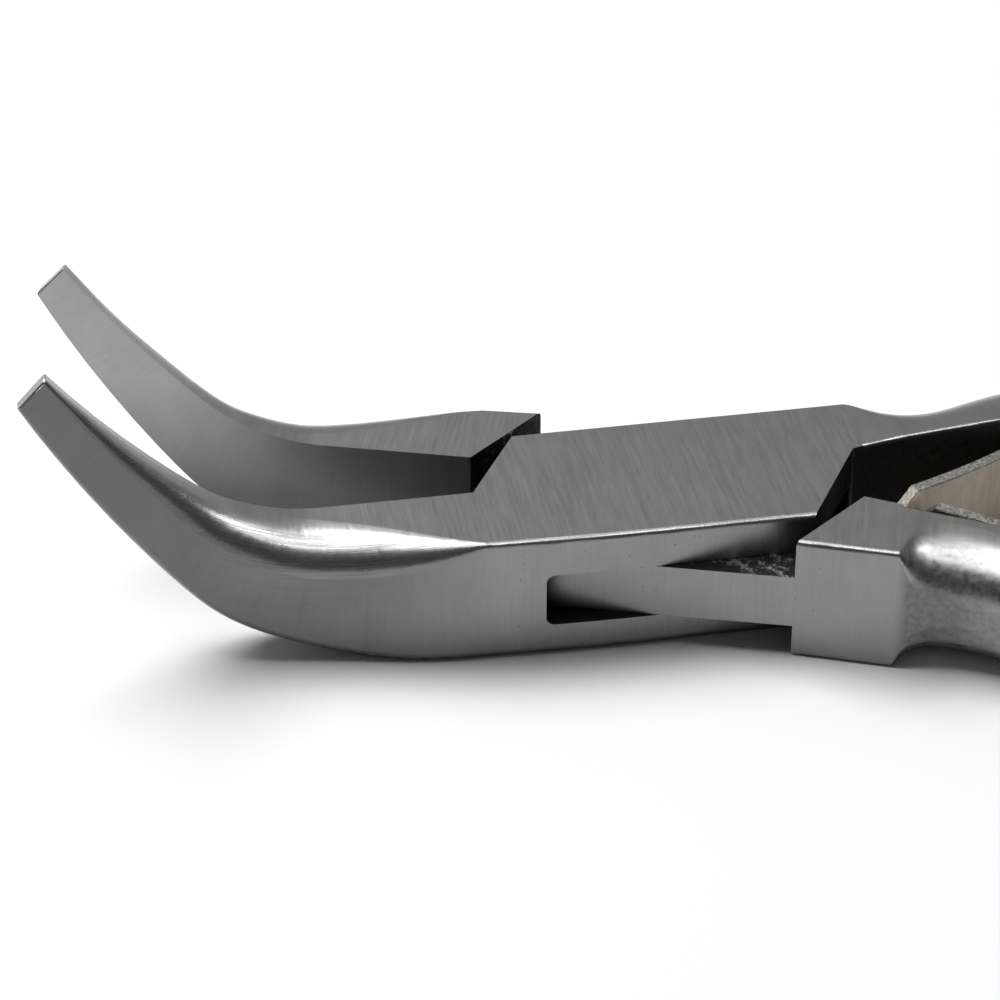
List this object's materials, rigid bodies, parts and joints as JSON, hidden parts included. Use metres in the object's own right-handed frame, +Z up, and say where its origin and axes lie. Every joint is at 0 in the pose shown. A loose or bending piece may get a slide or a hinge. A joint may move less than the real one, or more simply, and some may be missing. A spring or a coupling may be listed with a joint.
{
  "type": "bent nose pliers",
  "caption": "Box-joint hand pliers with smooth jaws curved up to slim tips, leaf springs between bowed handles with dipped grips.",
  "frame": {"origin": "on the pivot axis at the joint's underside, which lies on the surface", "axes": "+Z up along the pivot axis, -X towards the jaws' tips, +X towards the handles, -Y the box half's jaw side"},
  "size_m": [0.1298, 0.0506, 0.0222],
  "materials": {
    "tool_steel": "satin brushed",
    "pin_steel": "ground flush with the joint",
    "spring_steel": "rolled strip with sheared edges",
    "screw_steel": "plated",
    "grip_vinyl": "satin dipped vinyl"
  },
  "bodies": {
    "box_side": {"box_half": "tool_steel", "pivot_pin": "pin_steel", "box_half_grip": "grip_vinyl", "long_leaf_screw": "screw_steel"},
    "tongue_side": {"tongue_half": "tool_steel", "tongue_half_grip": "grip_vinyl", "short_leaf_screw": "screw_steel"},
    "long_leaf": {"long_leaf_spring": "spring_steel"},
    "short_leaf": {"short_leaf_spring": "spring_steel"}
  },
  "joints": [
    {"name": "jaw_pivot", "type": "hinge", "parent": "box_side", "child": "tongue_side", "pos_m": [0, 0, 0.00475], "axis": [0, 0, 1], "range_deg": [-4, 18.8], "stiffness_Nm_per_rad": 1.5, "deforming": ["long_leaf_spring", "short_leaf_spring"]},
    {"name": "long_leaf_flex", "type": "hinge", "parent": "box_side", "child": "long_leaf", "pos_m": [0.02823, 0.00813, 0.00475], "axis": [0, 0, 1], "range_deg": [-14, 3.5]},
    {"name": "short_leaf_flex", "type": "hinge", "parent": "tongue_side", "child": "short_leaf", "pos_m": [0.03038, -0.00891, 0.00475], "axis": [0, 0, 1], "range_deg": [-4, 17]}
  ],
  "couplings": [
    {"joint": "long_leaf_flex", "follows": "jaw_pivot", "ratio": -0.72},
    {"joint": "short_leaf_flex", "follows": "jaw_pivot", "ratio": 0.88}
  ]
}
